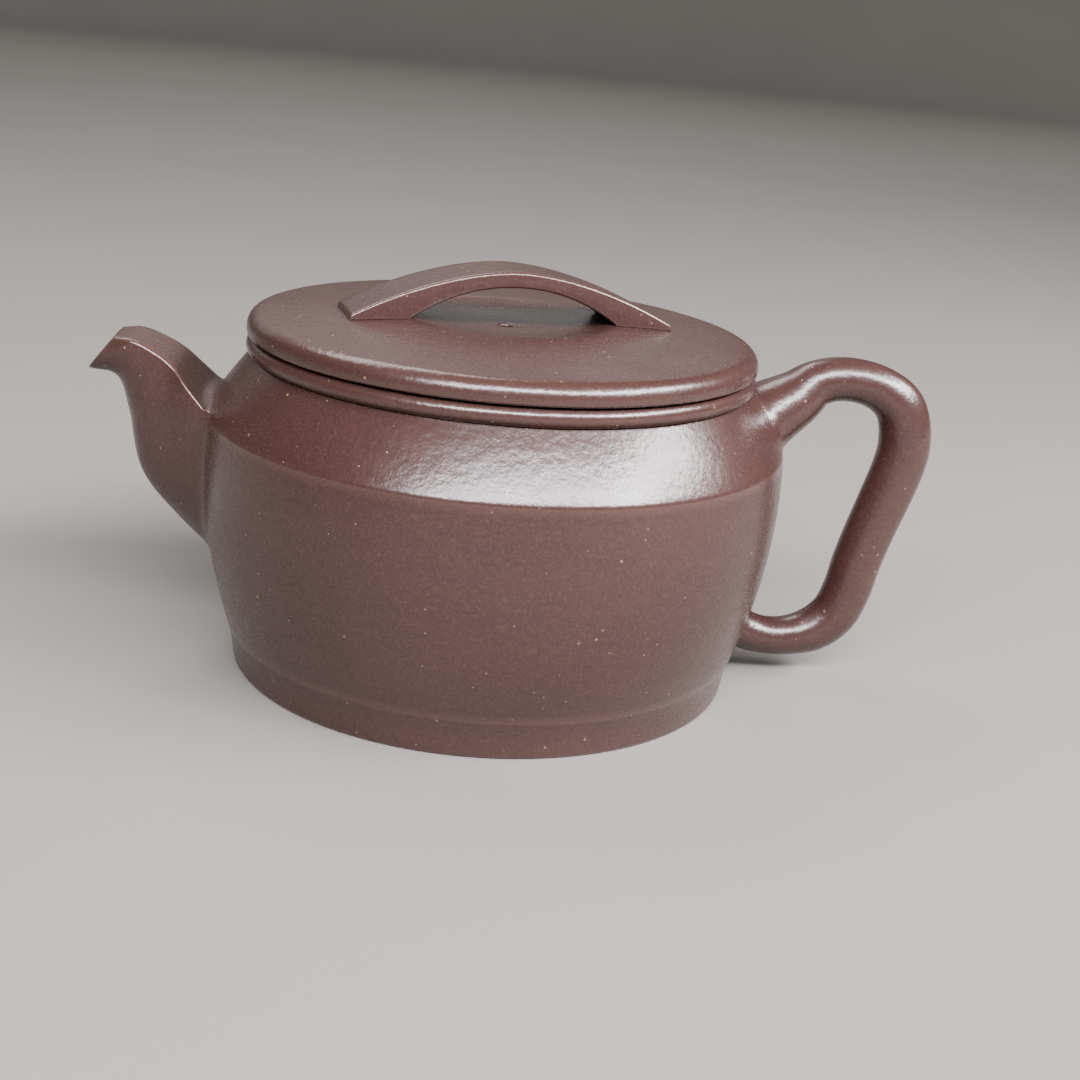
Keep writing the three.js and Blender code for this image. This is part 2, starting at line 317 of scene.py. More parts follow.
def clay(slot, body, shade, bloom_and_highlight, roughness, polish, peel):
    """Unglazed fired clay. body, shade and bloom are its colours; the lighter bloom colour also paints a
    highlight along convex edges.
    polish is how much smoother those edges are, and peel is the depth of the slight waviness left by the
    burnishing."""
    material = bpy.data.materials.new("teapot_" + slot)
    material["slot"] = slot
    material.use_nodes = True
    material.node_tree.nodes.clear()
    n = Nodes(material.node_tree)
    place = n.add("ShaderNodeTexCoord").outputs["Object"]
    edge_wear_and_highlight = n.add("ShaderNodeAttribute", attribute_name="wear_and_highlight").outputs["Fac"]

    def clouds(size, detail=3.0, stretch=(1, 1, 1)):
        turned = n.add("ShaderNodeMapping", {"Vector": place, "Scale": stretch}).outputs[0]
        inputs = {"Vector": turned, "Scale": 1 / size, "Detail": detail, "Roughness": 0.55}
        return n.add("ShaderNodeTexNoise", inputs).outputs[0]

    def specks(spacing, radius, share):
        """Grains of one size: 1 inside a grain, in the given share of the cells."""
        cells = n.add("ShaderNodeTexVoronoi", {"Vector": place, "Scale": 1 / spacing})
        draw = n.add("ShaderNodeSeparateColor", {0: cells.outputs["Color"]}).outputs[0]
        kept = n.math("LESS_THAN", draw, share)
        edge = radius / spacing
        near = n.spread(cells.outputs["Distance"], 0.55 * edge, edge, 1.0, 0.0)
        return n.math("MULTIPLY", near, kept)

    patches = n.spread(clouds(26 * MM, 4.0), 0.3, 0.7)
    strokes = n.spread(clouds(14 * MM, 4.0, (1, 1, 6)), 0.3, 0.7)
    fine = clouds(0.45 * MM, 3.0)
    grit = clouds(1.7 * MM, 2.0)

    colour = n.blend(n.math("MULTIPLY", patches, 0.55), body, shade)
    colour = n.blend(n.math("MULTIPLY", strokes, 0.06), colour, bloom_and_highlight)
    colour = n.blend(n.spread(fine, 0.42, 0.75, 0.0, 0.30), colour, bloom_and_highlight)
    colour = n.blend(n.spread(grit, 0.40, 0.25, 0.0, 0.35), colour, shade)
    pale = specks(1.9 * MM, 0.17 * MM, 0.30)
    golden = specks(2.9 * MM, 0.27 * MM, 0.34)
    iron = specks(1.4 * MM, 0.16 * MM, 0.40)
    colour = n.blend(n.math("MULTIPLY", pale, 0.75), colour, rgb(0.26, 0.17, 0.14))
    colour = n.blend(n.math("MULTIPLY", golden, 0.75), colour, rgb(0.24, 0.14, 0.08))
    colour = n.blend(n.math("MULTIPLY", iron, 0.55), colour, rgb(0.018, 0.009, 0.008))
    # Convex edges are lightened towards the bloom colour: partly the polish of handling, partly a painted
    # highlight along the edges.
    colour = n.blend(n.math("MULTIPLY", edge_wear_and_highlight, 0.35), colour, bloom_and_highlight)

    sheen = n.spread(strokes, 0.0, 1.0, roughness + 0.02, roughness - 0.02)
    sheen = n.math("ADD", sheen, n.spread(fine, 0.3, 0.7, 0.03, -0.02))
    sheen = n.math("SUBTRACT", sheen, n.math("MULTIPLY", edge_wear_and_highlight, polish))

    waves = n.add("ShaderNodeBump", {"Height": clouds(1.6 * MM, 2.0), "Distance": peel, "Strength": 1.0})
    pores = n.add("ShaderNodeBump", {
        "Height": fine, "Distance": 0.03 * MM, "Strength": 0.8, "Normal": waves.outputs[0]})
    pits = n.add("ShaderNodeBump", {
        "Height": n.math("SUBTRACT", pale, iron), "Distance": 0.03 * MM, "Strength": 0.7,
        "Normal": pores.outputs[0]})
    surface = n.add("ShaderNodeBsdfPrincipled", {
        "Base Color": colour, "Roughness": sheen, "Normal": pits.outputs[0],
        "Specular IOR Level": 0.6, "Coat Weight": 0.0})
    n.add("ShaderNodeOutputMaterial", {"Surface": surface.outputs[0]})
    return material


BURNISHED = clay(
    "burnished_clay", body=rgb(0.033, 0.0140, 0.0122), shade=rgb(0.024, 0.0100, 0.0087),
    bloom_and_highlight=rgb(0.085, 0.042, 0.036), roughness=0.27, polish=0.08, peel=0.08 * MM)
RAW = clay(
    "raw_clay", body=rgb(0.050, 0.0220, 0.0185), shade=rgb(0.036, 0.0155, 0.0130),
    bloom_and_highlight=rgb(0.105, 0.055, 0.046), roughness=0.62, polish=0.08, peel=0.06 * MM)


def floor_finish():
    material = bpy.data.materials.new("pale_floor")
    material.use_nodes = True
    n = Nodes(material.node_tree)
    place = n.add("ShaderNodeTexCoord").outputs["Object"]
    cloud = n.add("ShaderNodeTexNoise", {"Vector": place, "Scale": 6.0, "Detail": 3.0}).outputs[0]
    colour = n.blend(cloud, rgb(0.165, 0.155, 0.142), rgb(0.185, 0.175, 0.162))
    surface = material.node_tree.nodes["Principled BSDF"]
    material.node_tree.links.new(colour, surface.inputs["Base Color"])
    surface.inputs["Roughness"].default_value = 0.75
    return material


# ---------------------------------------------------------------- making pieces

def skinned(rings, looped=False, capped=False):
    """Points and faces of a skin over rings of equally many points. The skin closes from the
    last ring to the first if looped, or with a face at each end if capped."""
    around = len(rings[0])
    points = [tuple(p) for ring in rings for p in ring]
    faces = []
    for i in range(len(rings) if looped else len(rings) - 1):
        here = i * around
        there = ((i + 1) % len(rings)) * around
        for k in range(around):
            after = (k + 1) % around
            faces.append((here + k, here + after, there + after, there + k))
    if capped:
        faces.append(tuple(range(around)))
        faces.append(tuple(range(len(points) - around, len(points))))
    return points, faces


def turned(outline, looped=True, segments=TURN_SEGMENTS):
    """Points and faces of an outline of (radius, height) turned about the axis."""
    angles = [2 * math.pi * k / segments for k in range(segments)]
    return skinned([[(r * math.cos(a), r * math.sin(a), z) for a in angles] for r, z in outline], looped)


noise.seed_set(UNEVENNESS_SEED)


def knead(point):
    """The slight unevenness of a piece shaped by hand. The underside stays flat."""
    drift = noise.noise_vector(point / UNEVENNESS_SIZE) * UNEVENNESS
    drift.z *= min(1.0, point.z / FOOT_HEIGHT)
    return point + drift


WEAR_AND_HIGHLIGHT_FROM = 150  # curvature in 1/m at which the edge wear and the painted edge highlight set in
WEAR_AND_HIGHLIGHT_RANGE = 600


def mark_edge_wear_and_highlight(mesh, form):
    """Writes how sharply each point sticks out, which is where handling polishes the clay and where the
    colour is lightened as a painted highlight along the edges.
    """
    form.normal_update()
    edge_wear_and_highlight = mesh.attributes.new("wear_and_highlight", "FLOAT", "POINT")
    for vert in form.verts:
        curves = []
        for edge in vert.link_edges:
            away = edge.other_vert(vert).co - vert.co
            curves.append(-2 * vert.normal.dot(away) / max(away.length_squared, 1e-14))
        convexity = sum(curves) / max(len(curves), 1)
        edge_wear_and_highlight.data[vert.index].value = min(max((convexity - WEAR_AND_HIGHLIGHT_FROM) / WEAR_AND_HIGHLIGHT_RANGE, 0.0), 1.0)


def finish_mesh(mesh, material):
    """Closes the seams, turns the faces out, and adds the marks of handwork: the unevenness, and the edge
    mask for wear and for a painted edge highlight.
    """
    form = bmesh.new()
    form.from_mesh(mesh)
    bmesh.ops.remove_doubles(form, verts=form.verts, dist=SEAM)
    bmesh.ops.recalc_face_normals(form, faces=form.faces)
    for vert in form.verts:
        vert.co = knead(vert.co)
    form.to_mesh(mesh)
    mark_edge_wear_and_highlight(mesh, form)
    form.free()
    mesh.shade_smooth()
    mesh.set_sharp_from_angle(angle=SHARP_EDGE)
    mesh.materials.clear()
    mesh.materials.append(material)


def piece(name, form, node, material):
    """Makes a piece that stands for a node of the frame and rides on its body."""
    points, faces = form
    mesh = bpy.data.meshes.new(name)
    mesh.from_pydata(points, [], faces)
    return piece_of(name, mesh, node, material)


def piece_of(name, mesh, node, material):
    finish_mesh(mesh, material)
    made = bpy.data.objects.new(name, mesh)
    bpy.context.scene.collection.objects.link(made)
    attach(made, frame["nodes"][node]["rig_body"])
    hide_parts(node)
    return made


def grown(name, tree, sizes, start=None):
    """The mesh that a geometry tree makes from its named sizes."""
    carrier = bpy.data.objects.new(name, start or bpy.data.meshes.new(name))
    bpy.context.scene.collection.objects.link(carrier)
    modifier = carrier.modifiers.new(name, "NODES")
    modifier.node_group = tree
    for item in tree.interface.items_tree:
        if item.name in sizes:
            modifier[item.identifier] = sizes[item.name]
    graph = bpy.context.evaluated_depsgraph_get()
    mesh = bpy.data.meshes.new_from_object(carrier.evaluated_get(graph))
    mesh.name = name
    carrier.modifiers.clear()
    bpy.data.objects.remove(carrier)
    return mesh


# ---------------------------------------------------------------- body

FOOT_BLEND_TOP = FOOT_HEIGHT + FOOT_BLEND
CREASE_START = CREASE_HEIGHT - CREASE_EASE


def base_disc():
    edge = SMALL_EDGE
    outline = [
        (0, 0),
        *steps(0, BASE_RADIUS - edge, 6, lambda r: (r, 0))[1:],
        *arc(BASE_RADIUS - edge, edge, edge, -90, 0, 3)[1:],
        (BASE_RADIUS, BASE_THICKNESS),
        *steps(BASE_RADIUS, 0, 10, lambda r: (r, BASE_THICKNESS))[1:],
    ]
    return piece("base_disc_clay", turned(outline, looped=False), "base_disc", RAW)


def foot_band():
    foot_radius = FOOT_TOP_RADIUS - FOOT_TAPER
    inner = BASE_RADIUS + 0.05 * MM
    straight_top = FOOT_HEIGHT - FOOT_BLEND
    straight_top_radius = mix(foot_radius, FOOT_TOP_RADIUS, straight_top / FOOT_HEIGHT)
    outline = [
        (inner, FOOT_EDGE / 2),
        (inner + FOOT_EDGE / 2, 0),
        *arc(foot_radius - FOOT_EDGE, FOOT_EDGE, FOOT_EDGE, -90, 0, 5),
        *bend((straight_top_radius, straight_top), (FOOT_TOP_RADIUS, FOOT_HEIGHT),
              (wall_radius(FOOT_BLEND_TOP), FOOT_BLEND_TOP), 10),
        (wall_radius(FOOT_BLEND_TOP) - WALL, FOOT_BLEND_TOP),
        (inner, FOOT_HEIGHT),
    ]
    return piece("foot_band_clay", turned(outline), "foot_band", BURNISHED)


def wall_tree():
    """The wall between foot and crease: a closed section, carried round the axis.

    A sheet of unit squares is bent to shape. Along the section, the share of the way runs
    0-1 up the outside, 1-2 across the top, 2-3 down the inside and 3-4 across the bottom."""
    tree = bpy.data.node_groups.new("wall_between_foot_and_crease", "GeometryNodeTree")
    tree.interface.new_socket("Geometry", in_out="OUTPUT", socket_type="NodeSocketGeometry")
    for name in ("Foot radius", "Foot height", "Crease radius", "Crease height", "Belly", "Thickness",
                 "From height", "To height"):
        tree.interface.new_socket(name, in_out="INPUT", socket_type="NodeSocketFloat")
    for name in ("Segments", "Rows"):
        tree.interface.new_socket(name, in_out="INPUT", socket_type="NodeSocketInt")
    tree.interface.new_socket("Clay", in_out="INPUT", socket_type="NodeSocketMaterial")
    n = Nodes(tree)
    size = n.add("NodeGroupInput").outputs

    columns = n.math("ADD", size["Segments"], 1)
    rows = n.math("ADD", n.math("MULTIPLY", size["Rows"], 4), 1)
    sheet = n.add("GeometryNodeMeshGrid", {
        "Size X": 1.0, "Size Y": 1.0, "Vertices X": columns, "Vertices Y": rows})
    place = n.add("ShaderNodeSeparateXYZ", {0: n.add("GeometryNodeInputPosition").outputs[0]})
    angle = n.math("MULTIPLY", n.math("ADD", place.outputs[0], 0.5), 2 * math.pi)
    way = n.math("MULTIPLY", n.math("ADD", place.outputs[1], 0.5), 4.0)

    def leg(start):
        return n.math("SUBTRACT", way, start, clamp=True)

    up = n.math("SUBTRACT", leg(0), leg(2))
    inward = n.math("SUBTRACT", leg(1), leg(3))
    climb = n.math("SUBTRACT", size["To height"], size["From height"])
    height = n.math("MULTIPLY_ADD", up, climb, size["From height"])
    whole_climb = n.math("SUBTRACT", size["Crease height"], size["Foot height"])
    t = n.math("DIVIDE", n.math("SUBTRACT", height, size["Foot height"]), whole_climb)
    spread = n.math("SUBTRACT", size["Crease radius"], size["Foot radius"])
    straight = n.math("MULTIPLY_ADD", t, spread, size["Foot radius"])
    bow = n.math("MULTIPLY", t, n.math("SUBTRACT", 1.0, t))
    bulge = n.math("MULTIPLY", bow, n.math("MULTIPLY", size["Belly"], 4.0))
    inset = n.math("MULTIPLY", inward, size["Thickness"])
    radius = n.math("SUBTRACT", n.math("ADD", straight, bulge), inset)
    bent = n.add("ShaderNodeCombineXYZ", {
        0: n.math("MULTIPLY", radius, n.math("COSINE", angle)),
        1: n.math("MULTIPLY", radius, n.math("SINE", angle)),
        2: height})
    placed = n.add("GeometryNodeSetPosition", {"Geometry": sheet.outputs[0], "Position": bent.outputs[0]})
    joined = n.add("GeometryNodeMergeByDistance", {"Geometry": placed.outputs[0], "Distance": SEAM})
    whole = n.add("GeometryNodeRealizeInstances", {0: joined.outputs[0]})
    coated = n.add("GeometryNodeSetMaterial", {"Geometry": whole.outputs[0], "Material": size["Clay"]})
    n.add("NodeGroupOutput", {0: coated.outputs[0]})
    return tree


def body_wall():
    sizes = {
        "Foot radius": FOOT_TOP_RADIUS, "Foot height": FOOT_HEIGHT,
        "Crease radius": CREASE_RADIUS, "Crease height": CREASE_HEIGHT,
        "Belly": BELLY, "Thickness": WALL,
        "From height": FOOT_BLEND_TOP, "To height": CREASE_START,
        "Segments": TURN_SEGMENTS, "Rows": 24, "Clay": BURNISHED,
    }
    mesh = grown("body_wall_clay", wall_tree(), sizes)
    return piece_of("body_wall_clay", mesh, "body_wall", BURNISHED)


def shoulder_disc():
    start = (wall_radius(CREASE_START), CREASE_START)
    ease_end = CREASE_HEIGHT + CREASE_EASE
    outline = [
        *bend(start, (CREASE_RADIUS, CREASE_HEIGHT), (shoulder_radius(ease_end), ease_end), 4),
        *steps(ease_end, NECK_HEIGHT, 14, lambda z: (shoulder_radius(z), z))[1:],
        (MOUTH_RADIUS, NECK_HEIGHT),
        *bend((MOUTH_RADIUS, NECK_HEIGHT - WALL), (NECK_RADIUS - WALL / 2, NECK_HEIGHT - WALL),
              (wall_radius(CREASE_START) - WALL, CREASE_START), 12),
    ]
    return piece("shoulder_disc_clay", turned(outline), "shoulder_disc", BURNISHED)


def mouth_ring():
    size = (BEAD_TOP - NECK_HEIGHT) / 2
    centre = BEAD_RADIUS - size
    edge = SMALL_EDGE
    outline = [
        (MOUTH_RADIUS, NECK_HEIGHT),
        *arc(centre, NECK_HEIGHT + size, size, -90, 90, 18),
        *arc(MOUTH_RADIUS + edge, BEAD_TOP - edge, edge, 90, 180, 4),
    ]
    return piece("mouth_ring_clay", turned(outline), "mouth_ring", BURNISHED)


# ---------------------------------------------------------------- joining a lobe to the body

def on_body(point):
    """The point of the body's outside at the same height and direction."""
    out = Vector((point.x, point.y, 0)).normalized() * body_radius(point.z)
    return Vector((out.x, out.y, point.z))


def body_normal(point):
    small = 0.05 * MM
    slope = (body_radius(point.z + small) - body_radius(point.z - small)) / (2 * small)
    out = Vector((point.x, point.y, 0)).normalized()
    return Vector((out.x, out.y, -slope)).normalized()


def depth_in_body(point):
    return body_radius(point.z) - math.hypot(point.x, point.y)


def fillet_onto_body(path, free, buried, centre, width, count=8):
    """Where a path, which is free at one share and buried in the body at another, would enter
    the body, it turns and runs out along the body's surface instead, away from the centre of
    the joint. Returns the share at which it leaves the path, and the points from there on."""
    entry = first_true(lambda t: depth_in_body(path(mix(free, buried, t))) > 0, 0, 1)
    corner = path(mix(free, buried, entry))
    leave = first_true(lambda t: (path(mix(free, buried, t)) - corner).length < width, 0, entry)
    away = corner - centre
    normal = body_normal(corner)
    away -= normal * away.dot(normal)
    landing = corner + away.normalized() * width
    landing.z = min(landing.z, NECK_HEIGHT - SMALL_EDGE)
    landing = on_body(landing)
    share = mix(free, buried, leave)
    curve = bend(path(share), corner, landing, count)
    under = landing + away.normalized() * TUCK / 2 - body_normal(landing) * TUCK
    return share, [*curve, under]


def rows_to_rings(rows):
    """Turns one list of points for each line along a piece into one list for each ring."""
    return [list(ring) for ring in zip(*rows)]


# ---------------------------------------------------------------- spout

def spout_place(beyond, above, aside):
    return Vector((-CREASE_RADIUS - beyond * MM, aside * MM, CREASE_HEIGHT + above * MM))


def spout_section():
    """Points of a spout section as [across, down] shares: flat between the ridges, then round
    under the keel. The two numbers that follow say how much of the ridge rounding to add."""
    half_turn = math.pi
    quarter = math.pi / 2
    flat = steps(-1, 1, 12, lambda u: (u, 0.0, -u, 0.0))
    right = steps(quarter, 0, 4, lambda a: (1.0, 0.0, math.cos(a) - 1, 1 - math.sin(a)))
    under = steps(0, half_turn, 36, lambda a: (math.cos(a), math.sin(a), 0.0, 1.0))
    left = steps(half_turn, quarter, 4, lambda a: (-1.0, 0.0, math.cos(a) + 1, 1 - math.sin(a)))
    return [*flat, *right[1:], *under[1:-1], *left[:-1]]


def spout():
    ridge = smooth_line([spout_place(*p) for p in SPOUT_RIDGE])
    keel = smooth_line([spout_place(*p) for p in SPOUT_KEEL])
    section = spout_section()

    def skin(s, corner, inset):
        """A point of the section at a share s of the way from root to lip."""
        edge = ridge(s)
        top = Vector((edge.x, 0, edge.z))
        down = keel(s) - top
        depth = down.length
        down.normalize()
        across, fall, trim, lower = corner
        rounding = SPOUT_RIDGE_ROUNDING
        half = edge.y - inset
        drop = inset + lower * rounding + (depth - 2 * inset - rounding) * fall
        point = top + down * drop
        point.y = across * half + trim * rounding
        return point

    root_centre = on_body(mix(ridge(SPOUT_ROOT), keel(SPOUT_ROOT), 0.5) * Vector((1, 0, 1)))
    outside, channel = [], []
    for corner in section:
        def outer(s):
            return skin(s, corner, 0)

        def bore(s):
            return skin(s, corner, mix(SPOUT_WALL_AT_ROOT, SPOUT_WALL_AT_LIP, s))

        share, landing = fillet_onto_body(outer, SPOUT_FREE_FROM, 0.0, root_centre, SPOUT_FILLET)
        outside.append([*steps(1, share, SPOUT_ROWS, outer)[:-1], *landing])
        back = first_true(lambda t: depth_in_body(bore(SPOUT_FREE_FROM - t)) > TUCK, 0, SPOUT_FREE_FROM)
        channel.append(steps(SPOUT_FREE_FROM - back, 1, CHANNEL_ROWS, bore))
    rings = [*rows_to_rings(outside), *rows_to_rings(channel)]
    rim_outer, rim_inner = rings[0], rings[-1]
    tip = (ridge(1) - ridge(0.97)).normalized()
    for angle in (45, 90, 135):
        turn = math.radians(angle)
        swell = tip * SPOUT_WALL_AT_LIP * 0.3 * math.sin(turn)
        share = (1 + math.cos(turn)) / 2
        rings.append([a.lerp(b, 1 - share) + swell for a, b in zip(rim_inner, rim_outer)])
    return piece("spout_clay", skinned(rings, looped=True), "spout", BURNISHED)


# ---------------------------------------------------------------- strainer

def strainer_tree():
    """Pierces the thimble: a rod for each hole, set square to the dome in rings."""
    tree = bpy.data.node_groups.new("strainer_holes", "GeometryNodeTree")
    tree.interface.new_socket("Geometry", in_out="OUTPUT", socket_type="NodeSocketGeometry")
    tree.interface.new_socket("Geometry", in_out="INPUT", socket_type="NodeSocketGeometry")
    for name in ("Dome radius", "Hole radius", "Rod length"):
        tree.interface.new_socket(name, in_out="INPUT", socket_type="NodeSocketFloat")
    tree.interface.new_socket("Clay", in_out="INPUT", socket_type="NodeSocketMaterial")
    n = Nodes(tree)
    given = n.add("NodeGroupInput").outputs
    rings = n.add("GeometryNodeJoinGeometry")
    for count, tilt in STRAINER_RINGS:
        out = n.math("MULTIPLY", given["Dome radius"], math.sin(tilt))
        up = n.math("MULTIPLY", given["Dome radius"], math.cos(tilt))
        if count == 1:
            ring = n.add("GeometryNodeMeshLine", {"Count": 1})
        else:
            ring = n.add("GeometryNodeMeshCircle", {"Vertices": count, "Radius": out})
        lifted = n.add("GeometryNodeTransform", {
            "Geometry": ring.outputs[0], "Translation": n.add("ShaderNodeCombineXYZ", {2: up}).outputs[0]})
        tree.links.new(lifted.outputs[0], rings.inputs[0])
    rod = n.add("GeometryNodeMeshCylinder", {
        "Vertices": 20, "Radius": given["Hole radius"], "Depth": given["Rod length"]})
    outward = n.add("GeometryNodeInputPosition").outputs[0]
    square = n.add("FunctionNodeAlignRotationToVector", {"Vector": outward}, axis="Z")
    rods = n.add("GeometryNodeInstanceOnPoints", {
        "Points": rings.outputs[0], "Instance": rod.outputs[0], "Rotation": square.outputs[0]})
    tools = n.add("GeometryNodeRealizeInstances", {0: rods.outputs[0]})
    pierced = n.add("GeometryNodeMeshBoolean", operation="DIFFERENCE", solver="EXACT")
    tree.links.new(given["Geometry"], pierced.inputs["Mesh 1"])
    tree.links.new(tools.outputs[0], pierced.inputs["Mesh 2"])
    whole = n.add("GeometryNodeRealizeInstances", {0: pierced.outputs[0]})
    coated = n.add("GeometryNodeSetMaterial", {"Geometry": whole.outputs[0], "Material": given["Clay"]})
    n.add("NodeGroupOutput", {0: coated.outputs[0]})
    return tree


def spout_strainer():
    inner = STRAINER_RADIUS - STRAINER_WALL
    outline = [
        (inner, -STRAINER_SLEEVE), (STRAINER_RADIUS, -STRAINER_SLEEVE),
        *arc(0, 0, STRAINER_RADIUS, 0, 89.9, 20), *arc(0, 0, inner, 89.9, 0, 16),
    ]
    outline = [(max(r, 0.0) if r > 0.05 * MM else 0.0, z) for r, z in outline]
    points, faces = turned(outline, segments=STRAINER_SEGMENTS)
    thimble = bpy.data.meshes.new("thimble")
    thimble.from_pydata(points, [], faces)
    form = bmesh.new()
    form.from_mesh(thimble)
    bmesh.ops.remove_doubles(form, verts=form.verts, dist=SEAM)
    bmesh.ops.recalc_face_normals(form, faces=form.faces)
    form.to_mesh(thimble)
    form.free()
    sizes = {
        "Dome radius": STRAINER_RADIUS, "Hole radius": STRAINER_HOLE,
        "Rod length": 4 * STRAINER_WALL, "Clay": RAW,
    }
    mesh = grown("spout_strainer_clay", strainer_tree(), sizes, start=thimble)
    seat = Matrix.Translation((STRAINER_OPEN_END + STRAINER_SLEEVE, 0, STRAINER_HEIGHT))
    mesh.transform(seat @ Matrix.Rotation(math.pi / 2, 4, "Y"))
    return piece_of("spout_strainer_clay", mesh, "spout_strainer", RAW)


# ---------------------------------------------------------------- handle

def handle():
    line = smooth_line([
        (CREASE_RADIUS + beyond * MM, 0, CREASE_HEIGHT * share) for beyond, share, _ in HANDLE_LINE])
    thickness = smooth_line([(half * MM, 0, 0) for *_, half in HANDLE_LINE])
    small_share = 0.002

    def skin(s, angle):
        along = (line(s + small_share) - line(s - small_share)).normalized()
        across = Vector((0, 1, 0)).cross(along)
        half = thickness(s).x
        near_root = max(0.0, 1 - min(s, 1 - s) / HANDLE_ROOT_SHARE)
        width = half * mix(1, HANDLE_ROOT_SPREAD, near_root)
        point = line(s) + across * half * math.cos(angle)
        point.y = width * math.sin(angle)
        return point

    def root_centre(free, buried):
        entry = first_true(lambda t: depth_in_body(line(mix(free, buried, t))) > 0, 0, 1)
        return line(mix(free, buried, entry))

    upper, lower = root_centre(HANDLE_FREE_FROM, 0), root_centre(1 - HANDLE_FREE_FROM, 1)
    rows = []
    for k in range(HANDLE_SEGMENTS):
        angle = 2 * math.pi * k / HANDLE_SEGMENTS

        def row(s):
            return skin(s, angle)

        start, top = fillet_onto_body(row, HANDLE_FREE_FROM, 0.0, upper, HANDLE_FILLET)
        end, bottom = fillet_onto_body(row, 1 - HANDLE_FREE_FROM, 1.0, lower, HANDLE_FILLET)
        rows.append([*reversed(top), *steps(start, end, HANDLE_ROWS, row)[1:-1], *bottom])
    return piece("handle_clay", skinned(rows_to_rings(rows), capped=True), "handle", BURNISHED)


# ---------------------------------------------------------------- lid

def lid_plate():
    lip = crown_height(DISH_RADIUS)
    outline = [
        (AIR_HOLE, LID_BOTTOM + LID_VAULT),
        *steps(AIR_HOLE + SMALL_EDGE, COLLAR_INNER - LID_VAULT, 8, lambda r: (r, LID_BOTTOM + LID_VAULT)),
        *bend((COLLAR_INNER - LID_VAULT, LID_BOTTOM + LID_VAULT), (COLLAR_INNER, LID_BOTTOM + LID_VAULT),
              (COLLAR_INNER, LID_BOTTOM), 6)[1:],
        *steps(COLLAR_INNER, LID_RADIUS - LID_LOWER_EDGE, 6, lambda r: (r, LID_BOTTOM))[1:],
        *arc(LID_RADIUS - LID_LOWER_EDGE, LID_BOTTOM + LID_LOWER_EDGE, LID_LOWER_EDGE, -90, 0, 6)[1:],
        *arc(CROWN_RADIUS, LID_RIM_TOP - LID_FILLET, LID_FILLET, 0, 85, 12),
        *steps(CROWN_RADIUS - LID_FILLET / 2, DISH_RADIUS + DISH_LIP, 18, lambda r: (r, crown_height(r))),
        *bend((DISH_RADIUS + DISH_LIP, crown_height(DISH_RADIUS + DISH_LIP)), (DISH_RADIUS, lip),
              (DISH_RADIUS - DISH_LIP, lid_surface(DISH_RADIUS - DISH_LIP)), 6)[1:],
        *steps(DISH_RADIUS - DISH_LIP, AIR_HOLE + SMALL_EDGE, 14, lambda r: (r, lid_surface(r)))[1:],
        *bend((AIR_HOLE + SMALL_EDGE, lid_surface(0)), (AIR_HOLE, lid_surface(0)),
              (AIR_HOLE, lid_surface(0) - SMALL_EDGE), 4)[1:],
    ]
    return piece("lid_plate_clay", turned(outline), "lid_plate", BURNISHED)


def lid_collar():
    edge = SMALL_EDGE
    outline = [
        (COLLAR_INNER, COLLAR_TOP),
        *arc(COLLAR_INNER + edge, COLLAR_BOTTOM + edge, edge, 180, 270, 5),
        *arc(COLLAR_RADIUS - 2 * edge, COLLAR_BOTTOM + 2 * edge, 2 * edge, -90, 0, 6),
        (COLLAR_RADIUS, COLLAR_TOP),
    ]
    return piece("lid_collar_clay", turned(outline), "lid_collar", RAW)


def lid_bridge():
    drop = BRIDGE_TOP - crown_height(BRIDGE_HALF_LENGTH) - BRIDGE_EDGE
    arch_top = BRIDGE_TOP - BRIDGE_THICKNESS
    arch_drop = arch_top - crown_height(ARCH_HALF_SPAN)
    seated = BRIDGE_SEATED
    tip = BRIDGE_TIP

    def over(x):
        height = BRIDGE_TOP - drop * abs(x / BRIDGE_HALF_LENGTH) ** BRIDGE_FALL
        into_tip = max(0.0, (abs(x) - BRIDGE_HALF_LENGTH + tip) / tip)
        return height - BRIDGE_EDGE * (1 - math.sqrt(max(0.0, 1 - into_tip ** 2)))

    def under(x, y):
        if abs(x) < ARCH_HALF_SPAN:
            return arch_top - arch_drop * abs(x / ARCH_HALF_SPAN) ** ARCH_FALL
        return crown_height(math.hypot(x, y)) - seated

    def ring(x):
        """A flat section across the bridge with rounded corners."""
        half = BRIDGE_WIDTH / 2
        top = over(x)
        rounding = min(BRIDGE_ROUNDING, (top - under(x, half)) * 0.45)
        points = []
        corners = (
            (half - rounding, top - rounding, 90, 0, 1),
            (half - rounding, rounding, 0, -90, 0),
            (-half + rounding, rounding, -90, -180, 0),
            (-half + rounding, top - rounding, -180, -270, 1),
        )
        for y, z, start, end, is_top in corners:
            for cy, cz in arc(y, z, rounding, start, end, 5):
                points.append((x, cy, cz if is_top else cz + under(x, cy)))
        # The top runs across in a few more steps.
        points.extend((x, y, top) for y in steps(-half + rounding, half - rounding, 8)[1:-1])
        return points

    half_stations = [
        *steps(0, ARCH_HALF_SPAN, 40), *steps(ARCH_HALF_SPAN, BRIDGE_HALF_LENGTH - tip, 16)[1:],
        *steps(0, 1, 6, lambda t: BRIDGE_HALF_LENGTH - tip + tip * math.sin(t * math.pi / 2 * 0.98))[1:],
    ]
    stations = [*(-x for x in reversed(half_stations[1:])), *half_stations]
    points, faces = skinned([ring(x) for x in stations], capped=True)
    turn = Matrix.Rotation(LID_TURN, 3, "Z")
    points = [tuple(turn @ Vector(p)) for p in points]
    return piece("lid_bridge_clay", (points, faces), "lid_bridge", BURNISHED)


# ---------------------------------------------------------------- studio

CAMERA_AZIMUTH = math.radians(-3.5)
CAMERA_HEIGHT_ANGLE = math.radians(22.26)
CAMERA_DISTANCE = 0.3002
CAMERA_PAN = math.radians(-1.83)
CAMERA_TILT = math.radians(4.07)
CAMERA_ROLL = math.radians(-4.66)
CAMERA_LENS = 54.7


